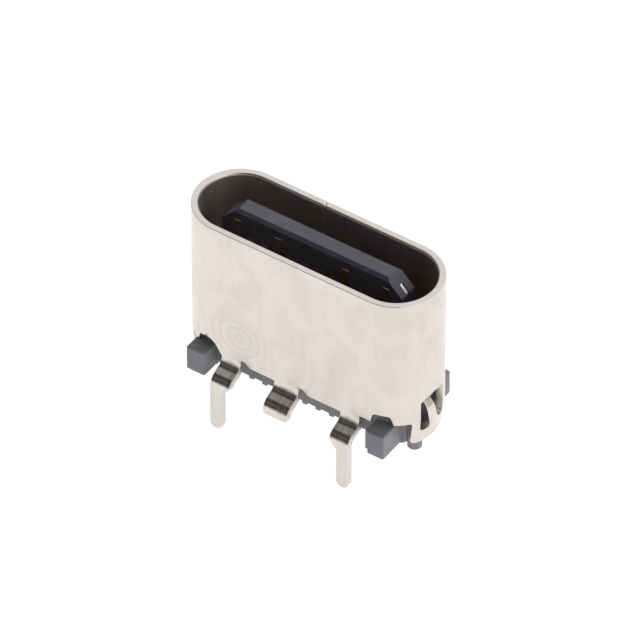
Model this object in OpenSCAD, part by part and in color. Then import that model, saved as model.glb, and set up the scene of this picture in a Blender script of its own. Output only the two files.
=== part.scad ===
// Vertical board socket with a stadium-shaped mouth and a 24-contact tongue.
// Millimetres. The origin is the middle of the face that sits on the board,
// +Z points out of the mouth and X runs along the mouth's long side.

/* [Mouth] */
// Long side of the mouth, inside the shell
mouth_w = 8.34; // [8.2:0.02:8.6]
// Short side of the mouth, inside the shell
mouth_d = 2.56; // [2.5:0.02:2.7]
// Height of the rim above the board
rim_z = 6; // [5.6:0.1:8]
// Height of the mouth's floor above the board
floor_z = 1.6; // [1.5:0.05:1.9]
// Width of the bevel inside the rim
rim_bevel = 0.04; // [0.02:0.01:0.08]

/* [Shell] */
// Thickness of the folded sheet
sheet_t = 0.25; // [0.2:0.01:0.3]
// Height of the lower edge between the legs
edge_z = 0.85; // [0.8:0.01:1]
// Height of the lower edge between the feet and the end lugs
edge_end_z = 1.03; // [1:0.01:1.1]
// Height of the arches over the feet
arch_z = 1.38; // [1.3:0.02:1.5]
// Distance of the seam from the middle of the rear wall
seam_x = 0.65; // [0.5:0.05:1.2]
// Width of the seam
seam_gap = 0.03; // [0.02:0.01:0.05]

/* [Legs] */
// Distance from the middle to the outer edge of a side leg
leg_out_x = 2.58; // [2.5:0.01:2.65]
// Width of a side leg at its root
leg_w = 0.71; // [0.6:0.01:0.8]
// Width of a side leg's pin
pin_w = 0.43; // [0.35:0.01:0.5]
// Reach of the pins below the board's face
pin_drop = 1.6; // [1:0.1:3]
// Width of the middle leg
mid_leg_w = 0.9; // [0.7:0.05:1]
// Sideways offset of the middle leg
mid_leg_shift = 0.15; // [0:0.05:0.2]
// Distance that the legs step outwards from the wall
leg_step = 0.65; // [0.5:0.01:0.8]
// Radius of the legs' first bend, outwards from the wall, at the middle of the sheet
bend_out_r = 0.45; // [0.4:0.01:0.48]
// Radius of the legs' second bend, down to the board, at the middle of the sheet
bend_r = 0.3; // [0.25:0.01:0.32]
// Angle of the leg bends
bend_a = 68; // [60:1:70]
// Height at which the legs start to bend
bend_z = 0.86; // [0.82:0.01:0.88]

/* [End lugs] */
// Half width of an end lug
lug_half = 0.9; // [0.8:0.01:0.95]
// Height of the lug's lower edge
lug_z = 0.2; // [0.1:0.02:0.3]
// Half width of the window in a lug
window_half = 0.57; // [0.5:0.01:0.6]
// Height of the window's lower edge
window_z = 0.62; // [0.58:0.01:0.66]
// Height of the window at its sides
window_side_z = 1.78; // [1.7:0.02:1.9]
// Rise of the window's arched top
window_rise = 0.2; // [0.05:0.01:0.25]
// Sideways offset of the window
window_shift = 0.07; // [0:0.01:0.1]
// Width of the spring tab in the window
tab_w = 0.4; // [0.3:0.02:0.5]
// Height of the tab's free end
tab_z = 1.4; // [1.35:0.01:1.42]
// Height of the tab's crease
tab_crease_z = 1.18; // [1.1:0.01:1.25]
// Inward lean of the tab at its crease
tab_crease_in = 0.11; // [0.05:0.01:0.13]
// Inward lean of the tab at its free end
tab_in = 0.3; // [0.2:0.01:0.32]

/* [Housing] */
// Gap between the housing and the shell
body_gap = 0.03; // [0.02:0.01:0.06]
// How far the skirt stands back from the shell's inside
skirt_in = 0.1; // [0.08:0.01:0.12]
// Height of the step between skirt and body
skirt_z = 0.9; // [0.86:0.01:1]
// Clearance of the housing's underside above the board, over the tails
stand_off = 0.17; // [0.16:0.01:0.2]
// Distance from the middle to the inner side of a foot
foot_in_x = 3; // [2.95:0.01:3.05]
// Width of a foot
foot_w = 0.69; // [0.6:0.01:0.7]
// Distance from the middle to the outer face of a foot
foot_out_y = 1.86; // [1.8:0.01:1.95]
// Length of a foot
foot_d = 0.99; // [0.9:0.01:1.05]
// Height of a foot
foot_h = 0.93; // [0.85:0.01:0.98]
// Width of the step in a foot's inner corner
foot_step_w = 0.11; // [0.05:0.01:0.15]
// Height of the step in a foot's inner corner
foot_step_h = 0.2; // [0.1:0.01:0.3]
// Distance from the middle to a locating peg
peg_x = 3.62; // [3.6:0.01:3.7]
// Diameter of a locating peg
peg_d = 0.47; // [0.4:0.01:0.48]
// Reach of the pegs below the board's face
peg_drop = 0.8; // [0.5:0.05:1]
// Number of upright ribs beside each foot
rib_count = 3; // [1:1:3]

/* [Tongue] */
// Width of the tongue
tongue_w = 6.69; // [6.6:0.01:6.7]
// Thickness of the tongue
tongue_t = 0.7; // [0.66:0.01:0.74]
// Distance of the tongue's tip below the rim
tongue_recess = 0.03; // [0:0.01:0.5]
// Size of the chamfers at the tip's corners
tongue_chamfer = 0.58; // [0.4:0.02:0.7]
// Width of the bevel along the tip
tip_bevel = 0.11; // [0.05:0.01:0.14]
// Thickness of the tongue's root
root_t = 1.06; // [1:0.02:1.1]
// Height of the root above the mouth's floor
root_h = 0.65; // [0.5:0.05:0.8]
// Depth of the latch notches in the tongue's sides
notch_d = 0.3; // [0.2:0.01:0.35]
// Height of the latch notches
notch_h = 1; // [0.8:0.1:1.2]
// Distance from the rim to the top of the latch notches
notch_below = 2; // [1.8:0.1:2.2]

/* [Contacts] */
// Distance between neighbouring contacts
pitch = 0.5; // [0.48:0.01:0.5]
// Number of contacts in a row
contact_count = 12; // [12:1:12]
// Width of a contact's blade
contact_w = 0.25; // [0.2:0.01:0.28]
// Thickness of a contact
contact_t = 0.12; // [0.1:0.01:0.14]
// Distance from the rim to the end of a power contact
power_below = 0.43; // [0.4:0.01:0.6]
// Distance from the rim to the end of a signal contact
signal_below = 0.95; // [0.8:0.05:1.2]
// Width of a contact's tail
tail_w = 0.17; // [0.15:0.01:0.2]
// Thickness of a contact's tail
tail_t = 0.15; // [0.12:0.01:0.15]
// Distance from the middle to the end of a tail
tail_y = 1.12; // [1:0.01:1.15]
// Play of a contact in its channel, each side
contact_gap = 0.01; // [0.01:0.005:0.02]

/* [Plates] */
// Thickness of the plate inside the tongue
mid_t = 0.16; // [0.12:0.01:0.18]
// Distance from the tongue's tip to the plate's upper edge
mid_below = 0.3; // [0.2:0.02:0.4]
// Height of the plate's lower edge
mid_low_z = 0.3; // [0.25:0.01:0.4]
// Thickness of a ground plate beside the root
ground_t = 0.1; // [0.08:0.01:0.12]
// Width of a ground plate
ground_w = 5.8; // [5.6:0.1:6]
// Height of a ground plate's lower edge
ground_low_z = 0.4; // [0.3:0.05:0.6]
// Width of a ground plate's flange on the mouth's floor
flange_d = 0.42; // [0.3:0.02:0.45]
// Clearance round the tongue in the housing's well
well_gap = 0.02; // [0.01:0.005:0.03]

/* [Hidden] */
$fn = 64;
nudge = 0.01;
far = 20;

half_run = (mouth_w - mouth_d) / 2;
inner_r = mouth_d / 2;
outer_r = inner_r + sheet_t;
body_r = inner_r - body_gap;
skirt_r = inner_r - skirt_in;
foot_out_x = foot_in_x + foot_w;
well_x = tongue_w / 2 + well_gap;
well_y = root_t / 2 + ground_t + well_gap;
tip_z = rim_z - tongue_recess;
root_z = floor_z + root_h;
mid_top_z = tip_z - mid_below;
notch_z = rim_z - notch_below;

mid_leg_x = -mid_leg_shift - mid_leg_w / 2;
// Width and height of the small cuts beside the legs, which let the sheet bend
relief_w = 0.12;
relief_h = 0.1;
// Slope of the arches' sides
arch_slope = 0.1;
// Corner radius of the end lugs
lug_corner = 0.2;
// Distance from the end of the straight run to where the front and rear edges hand over to the lugs
lug_start = 0.75;
// Height at which a side leg starts to narrow to its pin
shoulder_z = 0.2;
// Wall that stays between the window's lower edge and the tab's root
tab_root = 0.1;
// How much thinner than the sheet the pressed tab is
tab_press = 0.03;
// Gap between the tab and the back of its pocket, and the ledge above it
pocket_gap = 0.09;
pocket_ledge = 0.12;
// Lead-in of the pegs
peg_lead = 0.08;
// Upright ribs: width, how far they stand out, angle between them and angle of the first
rib_w = 0.07;
rib_out = 0.04;
rib_step = 8;
rib_first = -52;
// Half height of the ramp between the tongue's root and its blade
root_ramp = 0.1;
// Size of the bevels on a contact
contact_bevel = 0.05;

// ---------------------------------------------------------------- helpers

// Points of an arc about [cx, cy] from angle a0 to a1
function arc(cx, cy, r, a0, a1, n = 8) =
    [for (i = [0:n]) let (a = a0 + (a1 - a0) * i / n) [cx + r * cos(a), cy + r * sin(a)]];

// A stadium whose ends have radius r about the ends of the straight run
module stadium(r) {
    square([2 * half_run, 2 * r], center = true);
    for (s = [-1, 1]) translate([s * half_run, 0]) circle(r = r);
}

// Both copies of what is the same at the front and, half a turn round, at the rear
module both_sides() {
    children();
    rotate([0, 0, 180]) children();
}

// Extrudes an outline drawn in X and Z along Y, from y0 to y1
module along_y(y0, y1) {
    translate([0, y1, 0]) rotate([90, 0, 0]) linear_extrude(y1 - y0) children();
}

// Extrudes an outline drawn in Y and Z along X, from x0 to x1
module along_x(x0, x1) {
    translate([x0, 0, 0]) rotate([90, 0, 90]) linear_extrude(x1 - x0) children();
}

// ---------------------------------------------------------------- shell

// What is cut away under the front wall, drawn in X and Z
module front_cut() {
    inner_x = leg_out_x - leg_w;
    difference() {
        polygon([
            [-far, -far], [-far, edge_end_z], [-foot_out_x, edge_end_z],
            [-foot_out_x + arch_slope, arch_z], [-foot_in_x, arch_z],
            [-leg_out_x - 2 * arch_slope, arch_z - 2 * arch_slope],
            [-leg_out_x, edge_z], [leg_out_x, edge_z], [leg_out_x, edge_end_z],
            [foot_in_x, edge_end_z], [foot_in_x + arch_slope, arch_z],
            [foot_out_x - arch_slope, arch_z], [foot_out_x, edge_end_z],
            [far, edge_end_z], [far, -far]]);
        for (x = [-leg_out_x, inner_x]) leg_root(x, leg_w);
        leg_root(mid_leg_x, mid_leg_w);
    }
    for (x = [-inner_x, mid_leg_x + mid_leg_w]) translate([x, edge_z - nudge])
        square([2 * relief_w, relief_h + nudge]);
    for (x = [inner_x, mid_leg_x]) translate([x - relief_w, edge_z - nudge])
        square([relief_w, relief_h / 2 + nudge]);
}

// The stretch of wall that runs on down to a leg's first bend
module leg_root(x, w) {
    translate([x, bend_z]) square([w, arch_z]);
}

// Side view of a leg, drawn in Y and Z: the wall, an S-bend outwards and a straight end
module leg_profile(end_z) {
    half_t = sheet_t / 2;
    both_r = bend_out_r + bend_r;
    run = (leg_step - both_r * (1 - cos(bend_a))) / sin(bend_a);
    y0 = -outer_r + half_t - bend_out_r;
    z1 = bend_z - both_r * sin(bend_a) - run * cos(bend_a);
    y1 = -inner_r - leg_step + bend_r - half_t;
    polygon(concat(
        [[-outer_r, bend_z + sheet_t]],
        arc(y0, bend_z, bend_out_r - half_t, 0, -bend_a),
        arc(y1, z1, bend_r + half_t, 180 - bend_a, 180),
        [[-outer_r - leg_step, end_z], [-inner_r - leg_step, end_z]],
        arc(y1, z1, bend_r - half_t, 180, 180 - bend_a),
        arc(y0, bend_z, bend_out_r + half_t, -bend_a, 0),
        [[-inner_r, bend_z + sheet_t]]));
}

// Front view of a side leg whose outer edge is at x = 0 and whose root goes towards -X
module side_leg_outline() {
    translate([-leg_w, shoulder_z]) square([leg_w, bend_z + sheet_t]);
    polygon([[-leg_w, shoulder_z], [-pin_w, shoulder_z - (leg_w - pin_w)], [0, shoulder_z - (leg_w - pin_w)],
        [0, shoulder_z + nudge], [-leg_w, shoulder_z + nudge]]);
    translate([-pin_w, -pin_drop + pin_w / 2]) square([pin_w, pin_drop]);
    translate([-pin_w / 2, -pin_drop + pin_w / 2]) circle(d = pin_w);
}

module side_leg() {
    intersection() {
        along_x(-far, far) leg_profile(-pin_drop - 1);
        along_y(-far, 0) translate([leg_out_x, 0]) side_leg_outline();
    }
}

module middle_leg() {
    along_x(mid_leg_x, mid_leg_x + mid_leg_w) leg_profile(0);
}

// The window in an end lug, drawn in Y and Z about the lug's middle
module window_outline() {
    r = (pow(window_half, 2) + pow(window_rise, 2)) / (2 * window_rise);
    a = asin(window_half / r);
    polygon(concat(
        [[-window_half, window_z], [window_half, window_z]],
        arc(0, window_side_z + window_rise - r, r, 90 - a, 90 + a, 12)));
}

// The spring tab that is lanced out of the lug and leans in under the housing's ledge
module tab() {
    base_x = half_run + sqrt(pow(outer_r, 2) - pow(tab_w / 2 + window_shift, 2)) - nudge;
    base_z = window_z + tab_root;
    low_z = window_z - tab_root;
    t = sheet_t - tab_press;
    along_y(-window_shift - tab_w / 2, -window_shift + tab_w / 2) polygon([
        [base_x, low_z], [base_x, base_z],
        [base_x - tab_crease_in, tab_crease_z], [base_x - tab_in, tab_z],
        [base_x - tab_in - 0.6 * t, tab_z - 0.6 * t],
        [base_x - tab_crease_in - t, tab_crease_z - 0.3 * t],
        [base_x - t, base_z], [base_x - t, low_z]]);
}

// What is cut away round an end lug, drawn in Y and Z
module lug_cut() {
    corner = lug_corner;
    difference() {
        translate([-far, -far]) square([2 * far, far + edge_end_z]);
        translate([-lug_half, lug_z + corner]) square([2 * lug_half, far]);
        translate([-lug_half + corner, lug_z]) square([2 * (lug_half - corner), far]);
        for (s = [-1, 1]) translate([s * (lug_half - corner), lug_z + corner]) circle(r = corner);
    }
}

module rim_bevel_cut() {
    translate([0, 0, rim_z - rim_bevel]) {
        along_x(-half_run, half_run) polygon([
            [-inner_r, 0], [inner_r, 0], [inner_r + 2 * rim_bevel, 2 * rim_bevel],
            [-inner_r - 2 * rim_bevel, 2 * rim_bevel]]);
        for (s = [-1, 1]) translate([s * half_run, 0, 0])
            cylinder(h = 2 * rim_bevel, r1 = inner_r, r2 = inner_r + 2 * rim_bevel);
    }
}

module shell_side() {
    side_leg();
    mirror([1, 0, 0]) side_leg();
    middle_leg();
    tab();
}

module shell() color("gainsboro") {
    lug_start_x = half_run + lug_start;
    difference() {
        linear_extrude(rim_z) difference() {
            stadium(outer_r);
            stadium(inner_r);
        }
        both_sides() {
            intersection() {
                along_y(-far, -inner_r / 2) front_cut();
                translate([-lug_start_x, -far, -nudge]) cube([2 * lug_start_x, far, far]);
            }
            along_x(lug_start_x, far) lug_cut();
            along_x(half_run, far) translate([-window_shift, 0]) window_outline();
        }
        rim_bevel_cut();
        translate([-seam_x - seam_gap / 2, 0, -nudge]) cube([seam_gap, far, far]);
    }
    both_sides() shell_side();
}

// ---------------------------------------------------------------- housing

module foot(stepped) {
    difference() {
        translate([foot_in_x, -foot_out_y, 0]) cube([foot_w, foot_d, foot_h]);
        if (stepped) translate([foot_in_x - nudge, -far, -nudge])
            cube([foot_step_w + nudge, 2 * far, foot_step_h + nudge]);
    }
}

module peg() {
    translate([peg_x, 0, -peg_drop + peg_lead]) cylinder(h = peg_drop - peg_lead + nudge, d = peg_d);
    translate([peg_x, 0, -peg_drop]) cylinder(h = peg_lead, d1 = peg_d - 2 * peg_lead, d2 = peg_d);
}

// Upright ribs on the skirt's round end, between a foot and the end lug
module ribs() {
    for (i = [0:rib_count - 1]) translate([half_run, 0, 0]) rotate([0, 0, rib_first + i * rib_step])
        translate([skirt_r - rib_w, -rib_w / 2, 0]) cube([rib_w + rib_out, rib_w, skirt_z]);
}

// The pocket in the housing's end that clears the window's spring tab
module tab_pocket() {
    pocket_x = half_run + outer_r - tab_in - sheet_t - pocket_gap;
    low_z = window_z - tab_root;
    translate([pocket_x, -window_shift - window_half, low_z])
        cube([far, 2 * window_half, floor_z - pocket_ledge - low_z]);
}

module housing_side() {
    foot(true);
    mirror([1, 0, 0]) foot(false);
    ribs();
    mirror([1, 0, 0]) ribs();
    peg();
}

module housing() color("dimgray") difference() {
    union() {
        linear_extrude(skirt_z + nudge) stadium(skirt_r);
        translate([0, 0, skirt_z]) linear_extrude(floor_z - skirt_z) stadium(body_r);
        both_sides() housing_side();
    }
    translate([-well_x, -well_y, -nudge]) cube([2 * well_x, 2 * well_y, far]);
    translate([-foot_in_x, -far, -nudge]) cube([2 * foot_in_x, 2 * far, stand_off + nudge]);
    both_sides() tab_pocket();
}

// ---------------------------------------------------------------- tongue

// The tongue's outline, drawn in X and Z
module tongue_outline(top_z, low_z) {
    x = tongue_w / 2;
    c = max(tongue_chamfer - (tip_z - top_z), 0);
    polygon([[-x, low_z], [x, low_z], [x, tip_z - tongue_chamfer], [x - c, top_z],
        [-x + c, top_z], [-x, tip_z - tongue_chamfer]]);
}

// The tongue's section, drawn in Y and Z
module tongue_section() {
    y = tongue_t / 2;
    polygon([[-root_t / 2, 0], [root_t / 2, 0], [root_t / 2, root_z - root_ramp], [y, root_z + root_ramp],
        [y, tip_z - tip_bevel], [y - tip_bevel, tip_z], [-y + tip_bevel, tip_z],
        [-y, tip_z - tip_bevel], [-y, root_z + root_ramp], [-root_t / 2, root_z - root_ramp]]);
}

module latch_notches() {
    for (s = [-1, 1]) translate([s * tongue_w / 2 - notch_d, -far, notch_z - notch_h])
        cube([2 * notch_d, 2 * far, notch_h]);
}

function contact_x(i) = (i - (contact_count + 1) / 2) * pitch;
function is_power(i) = i == 1 || i == 4 || i == contact_count - 3 || i == contact_count;
function contact_top(i) = rim_z - (is_power(i) ? power_below : signal_below);

// The channel that a front contact lies in, from the tongue's face down and out to the tail
module contact_channel(i) {
    w = contact_w + 2 * contact_gap;
    y = tongue_t / 2;
    translate([contact_x(i) - w / 2, -y - contact_gap, -nudge])
        cube([w, contact_t + contact_gap, contact_top(i) + contact_gap + nudge]);
    translate([contact_x(i) - w / 2, -root_t, -nudge])
        cube([w, root_t - y + contact_t, tail_t + contact_gap + nudge]);
}

module tongue() color("darkslategray") difference() {
    intersection() {
        along_x(-far, far) tongue_section();
        along_y(-far, far) tongue_outline(tip_z, 0);
    }
    both_sides() for (i = [1:contact_count]) contact_channel(i);
    translate([-far, -mid_t / 2, mid_low_z]) cube([2 * far, mid_t, mid_top_z - mid_low_z]);
    latch_notches();
}

// ---------------------------------------------------------------- plates and contacts

module mid_plate() color("silver") difference() {
    along_y(-mid_t / 2, mid_t / 2) tongue_outline(mid_top_z, mid_low_z);
    latch_notches();
}

module ground_plate() color("silver") {
    y = -root_t / 2;
    along_x(-ground_w / 2, ground_w / 2) polygon([
        [y, ground_low_z], [y, root_z - ground_t], [y - ground_t, root_z - 2 * ground_t],
        [y - ground_t, floor_z + ground_t], [y - ground_t - flange_d, floor_z + ground_t],
        [y - ground_t - flange_d, floor_z], [y - ground_t, floor_z], [y - ground_t, ground_low_z]]);
}

module ground_plate_front() ground_plate();
module ground_plate_rear() rotate([0, 0, 180]) ground_plate();

// A front contact: a blade in the tongue's face and a tail along the board
module contact(i) color("goldenrod") {
    y = tongue_t / 2;
    top_z = contact_top(i);
    x = contact_x(i);
    tip = contact_bevel;
    along_x(x - contact_w / 2, x + contact_w / 2) polygon([
        [-y, tail_t], [-y, top_z - 2 * tip], [-y + tip, top_z], [-y + contact_t, top_z],
        [-y + contact_t, tip], [-y + contact_t - tip, 0], [-y, 0]]);
    translate([x - tail_w / 2, -tail_y, 0]) cube([tail_w, tail_y - y + nudge, tail_t]);
}

// Name of contact i in row r
function contact_name(r, i) = str("contact_", r, i < 10 ? "0" : "", i);

shell();
housing();
tongue();
mid_plate();
ground_plate_front();
ground_plate_rear();
for (i = [1:contact_count]) {
    contact(i);
    rotate([0, 0, 180]) contact(i);
}
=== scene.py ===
import math

import bmesh
import bpy
import numpy as np
from mathutils import Matrix, Vector
from mathutils.geometry import delaunay_2d_cdt


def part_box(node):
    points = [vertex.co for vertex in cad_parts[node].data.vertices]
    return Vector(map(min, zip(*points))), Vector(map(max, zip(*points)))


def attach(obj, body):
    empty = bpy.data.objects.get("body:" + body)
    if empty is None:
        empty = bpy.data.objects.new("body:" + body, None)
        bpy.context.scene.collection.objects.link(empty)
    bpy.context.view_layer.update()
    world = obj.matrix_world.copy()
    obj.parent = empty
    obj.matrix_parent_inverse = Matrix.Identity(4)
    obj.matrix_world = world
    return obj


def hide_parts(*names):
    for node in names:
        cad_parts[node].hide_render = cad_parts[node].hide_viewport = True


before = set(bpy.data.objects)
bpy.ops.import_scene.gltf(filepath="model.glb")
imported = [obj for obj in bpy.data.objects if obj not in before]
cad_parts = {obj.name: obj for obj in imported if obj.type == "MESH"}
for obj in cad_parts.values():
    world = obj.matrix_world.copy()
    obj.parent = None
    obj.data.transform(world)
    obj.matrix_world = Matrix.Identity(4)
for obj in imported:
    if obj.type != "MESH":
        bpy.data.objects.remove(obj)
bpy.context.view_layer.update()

# All sizes below are in millimetres, as in the part's source. Meshes are scaled to metres as they are made.
MM = 0.001
shell_low, shell_high = (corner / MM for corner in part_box("shell"))
housing_low, housing_high = (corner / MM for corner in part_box("housing"))
tongue_low, tongue_high = (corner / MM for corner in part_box("tongue"))

RIM_Z = shell_high.z
PIN_TIP_Z = shell_low.z
SHEET_T = 0.25
OUTER_R = 1.53
INNER_R = OUTER_R - SHEET_T
MID_R = OUTER_R - SHEET_T / 2
HALF_RUN = 2.89
END_ARC = math.pi * MID_R
PERIMETER = 4 * HALF_RUN + 2 * END_ARC


# ---------------------------------------------------------------- outlines

def rounded(corners, step=8.0):
    """A closed outline from corners (x, y, radius), with an arc in place of each corner."""
    points = []
    count = len(corners)
    for i, (x, y, r) in enumerate(corners):
        here = np.array([x, y])
        before = np.array(corners[i - 1][:2]) - here
        after = np.array(corners[(i + 1) % count][:2]) - here
        a, b = before / np.linalg.norm(before), after / np.linalg.norm(after)
        half = math.acos(max(-1, min(1, float(a @ b)))) / 2
        if r <= 0 or half > math.radians(89):
            points.append(here)
            continue
        reach = min(r / math.tan(half), 0.49 * np.linalg.norm(before), 0.49 * np.linalg.norm(after))
        r = reach * math.tan(half)
        middle = here + (a + b) / np.linalg.norm(a + b) * r / math.sin(half)
        start, end = here + a * reach - middle, here + b * reach - middle
        sweep = math.atan2(start[0] * end[1] - start[1] * end[0], start @ end)
        n = max(2, round(abs(math.degrees(sweep)) / step))
        for k in range(n + 1):
            t = sweep * k / n
            c, s = math.cos(t), math.sin(t)
            points.append(middle + [c * start[0] - s * start[1], s * start[0] + c * start[1]])
    return np.array(points)


def dense(loop, step):
    """The same closed outline with no stretch longer than step."""
    out = []
    for a, b in zip(loop, np.roll(loop, -1, 0)):
        n = max(1, math.ceil(np.linalg.norm(b - a) / step - 1e-6))
        out += [a + (b - a) * k / n for k in range(n)]
    return np.array(out)


def outward(loop):
    """The direction that points out of the material at each point, with the material to the left."""
    step = np.roll(loop, -1, 0) - loop
    step /= np.linalg.norm(step, axis=1)[:, None]
    side = np.stack([step[:, 1], -step[:, 0]], 1)
    miter = side + np.roll(side, 1, 0)
    length = np.linalg.norm(miter, axis=1)[:, None]
    return miter / length, 2 / length


def inside(points, loops):
    """True for the points inside an odd number of the loops."""
    odd = np.zeros(len(points), bool)
    x, y = points[:, 0], points[:, 1]
    for loop in loops:
        for (x0, y0), (x1, y1) in zip(loop, np.roll(loop, -1, 0)):
            if y0 == y1:
                continue
            crosses = (y0 > y) != (y1 > y)
            odd ^= crosses & (x < x0 + (y - y0) * (x1 - x0) / (y1 - y0))
    return odd


# ---------------------------------------------------------------- the folded shell

EDGE_Z, NOTCH_Z, EDGE_END_Z, ARCH_Z = 0.85, 1.0, 1.03, 1.38
FOOT_IN_X, FOOT_OUT_X = 3.0, 3.69
LEG_OUT_X, LEG_W, PIN_W = 2.58, 0.71, 0.43
MID_LEG = (-0.6, 0.3)
BEND_Z, BEND_OUT_R, BEND_DOWN_R, BEND_A, LEG_STEP = 0.86, 0.45, 0.3, math.radians(68), 0.65
LEGS = [(LEG_W / 2 - LEG_OUT_X, LEG_W), (sum(MID_LEG) / 2, MID_LEG[1] - MID_LEG[0]), (LEG_OUT_X - LEG_W / 2, LEG_W)]
DRAW_H, DRAW_LEAN = 0.22, math.radians(16)
SHOULDER_Z = 0.2
SEAM_X, SEAM_GAP = 0.65, 0.008
LUG_HALF, LUG_Z, LUG_LEAN = 0.9, 0.12, 0.09
WINDOW = (-0.64, 0.5)
WINDOW_SIDE_Z, WINDOW_TOP_Z = 1.78, 1.98
SLOT_LOW_Z, SLOT_HIGH_Z = 0.58, 0.68
TAB = (-0.27, 0.13)
TAB_ROOT_Z, TAB_CREASE, TAB_END = 0.72, 0.473, 0.763
TAB_LEANS = (math.radians(13.4), math.radians(40.8))

leg_run = (LEG_STEP - (BEND_OUT_R + BEND_DOWN_R) * (1 - math.cos(BEND_A))) / math.sin(BEND_A)
turn_out, turn_down = BEND_OUT_R * BEND_A, BEND_DOWN_R * BEND_A


def leg_path(s):
    """Reach, height and lean of a leg, s along it from where it starts to bend."""
    first = np.clip(s / BEND_OUT_R, 0, BEND_A)
    straight = np.clip(s - turn_out, 0, leg_run)
    last = np.clip((s - turn_out - leg_run) / BEND_DOWN_R, 0, BEND_A)
    down = np.maximum(s - turn_out - leg_run - turn_down, 0)
    reach = (BEND_OUT_R * (1 - np.cos(first)) + straight * math.sin(BEND_A)
             + BEND_DOWN_R * (np.cos(BEND_A - last) - math.cos(BEND_A)))
    z = (BEND_Z - BEND_OUT_R * np.sin(first) - straight * math.cos(BEND_A)
         - BEND_DOWN_R * (math.sin(BEND_A) - np.sin(BEND_A - last)) - down)
    return reach, z, first - last


def flat_height(z):
    """Height on the flat blank of a point that ends up at height z on a leg."""
    s = np.linspace(0, 5, 5001)
    return BEND_Z - float(np.interp(-z, -leg_path(s)[1], s))


def along(x):
    """Distance along the blank, from the middle of a long wall, of a point at x on its outer face."""
    over = max(abs(x) - HALF_RUN, 0)
    return math.copysign(min(abs(x), HALF_RUN) + MID_R * math.asin(over / OUTER_R), x)


def round_end(y):
    """Distance along the blank from the middle of a round end to a point at y on its outer face."""
    return MID_R * math.asin(y / OUTER_R)


def lower_edge():
    """Corners of the blank's lower edge under one long wall, from one end lug's middle to the other's."""
    quarter = PERIMETER / 4
    lug = quarter - round_end(LUG_HALF)
    knee, low = flat_height(SHOULDER_Z), flat_height(SHOULDER_Z - LEG_W + PIN_W)
    tip = flat_height(PIN_TIP_Z)
    leg_in = LEG_OUT_X - LEG_W
    a, b = MID_LEG
    mid_end = flat_height(0)
    return [
        (-quarter, LUG_Z, 0), (-lug, LUG_Z, 0.2), (-lug, EDGE_END_Z - 0.05, 0.06),
        (along(-FOOT_OUT_X + 0.16), EDGE_END_Z - 0.05, 0.06), (along(-FOOT_OUT_X + 0.26), ARCH_Z - 0.08, 0.12),
        (along(-FOOT_IN_X), ARCH_Z - 0.02, 0.1), (-LEG_OUT_X - 0.2, ARCH_Z - 0.22, 0.12), (-LEG_OUT_X, EDGE_Z, 0.06),
        (-LEG_OUT_X, tip, PIN_W / 2), (-LEG_OUT_X + PIN_W, tip, PIN_W / 2), (-LEG_OUT_X + PIN_W, low, 0.06),
        (-leg_in, knee, 0.1), (-leg_in, NOTCH_Z, 0.07), (-leg_in + 0.16, NOTCH_Z, 0.1),
        (-leg_in + 0.36, EDGE_Z, 0.12), (a, EDGE_Z, 0.07), (a, mid_end, 0.1), (b, mid_end, 0.1),
        (b, NOTCH_Z, 0.07), (b + 0.16, NOTCH_Z, 0.1), (b + 0.36, EDGE_Z, 0.12),
        (leg_in, EDGE_Z, 0.07), (leg_in, knee, 0.1),
        (LEG_OUT_X - PIN_W, low, 0.06), (LEG_OUT_X - PIN_W, tip, PIN_W / 2), (LEG_OUT_X, tip, PIN_W / 2),
        (LEG_OUT_X, EDGE_END_Z, 0.05), (along(FOOT_IN_X), EDGE_END_Z, 0.05), (along(FOOT_IN_X + 0.1), ARCH_Z, 0.1),
        (along(FOOT_OUT_X - 0.1), ARCH_Z, 0.1), (along(FOOT_OUT_X), EDGE_END_Z, 0.05),
        (lug, EDGE_END_Z, 0.09), (lug, LUG_Z, 0.2),
    ]


def blank_outline():
    """The flat blank's outer edge, with its material to the left, from the seam round to the seam."""
    half = PERIMETER / 2
    edge = lower_edge()
    rear_left = [(u - half, v, r) for u, v, r in edge if u > SEAM_X + 0.1]
    rear_right = [(u + half, v, r) for u, v, r in edge if u < MID_LEG[1] + 0.2]
    start, end = SEAM_X - half + SEAM_GAP / 2, SEAM_X + half - SEAM_GAP / 2
    corners = ([(start, RIM_Z, 0.05), (start, EDGE_Z, 0.04)] + rear_left + edge + rear_right
               + [(end, EDGE_Z + 0.06, 0.04), (end, RIM_Z, 0.05)])
    return rounded(corners)


def window_outline(centre):
    """A window with its spring tab standing in it, with the material outside it to the left."""
    a, b = (round_end(y) for y in WINDOW)
    t0, t1 = (round_end(y) for y in TAB)
    tab_top = TAB_ROOT_Z + TAB_END
    arch = [(a + (b - a) * k / 8, WINDOW_SIDE_Z + (WINDOW_TOP_Z - WINDOW_SIDE_Z) * math.sin(math.pi * k / 8), 0.3)
            for k in range(1, 8)]
    corners = ([(a, SLOT_LOW_Z, 0.17), (a, WINDOW_SIDE_Z, 0.04)] + arch
               + [(b, WINDOW_SIDE_Z, 0.04), (b, SLOT_HIGH_Z, 0.17), (t1, SLOT_HIGH_Z, 0.17),
                  (t1, tab_top, 0.04), (t0, tab_top, 0.04), (t0, SLOT_LOW_Z, 0.17)])
    return rounded([(centre + u, v, r) for u, v, r in corners])


def section(edge_r, back_r):
    """Inset, depth and turn of a cut edge's rounding, from the outer face to the inner one."""
    front = [(edge_r * (1 - math.sin(a)), edge_r * (1 - math.cos(a)), a) for a in np.radians([0, 30, 60, 90])]
    back = [(back_r * (1 - math.sin(a)), SHEET_T - back_r * (1 + math.cos(a)), a)
            for a in np.radians([90, 110, 130, 150, 160, 170, 180])]
    return np.array(front + back)


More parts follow.
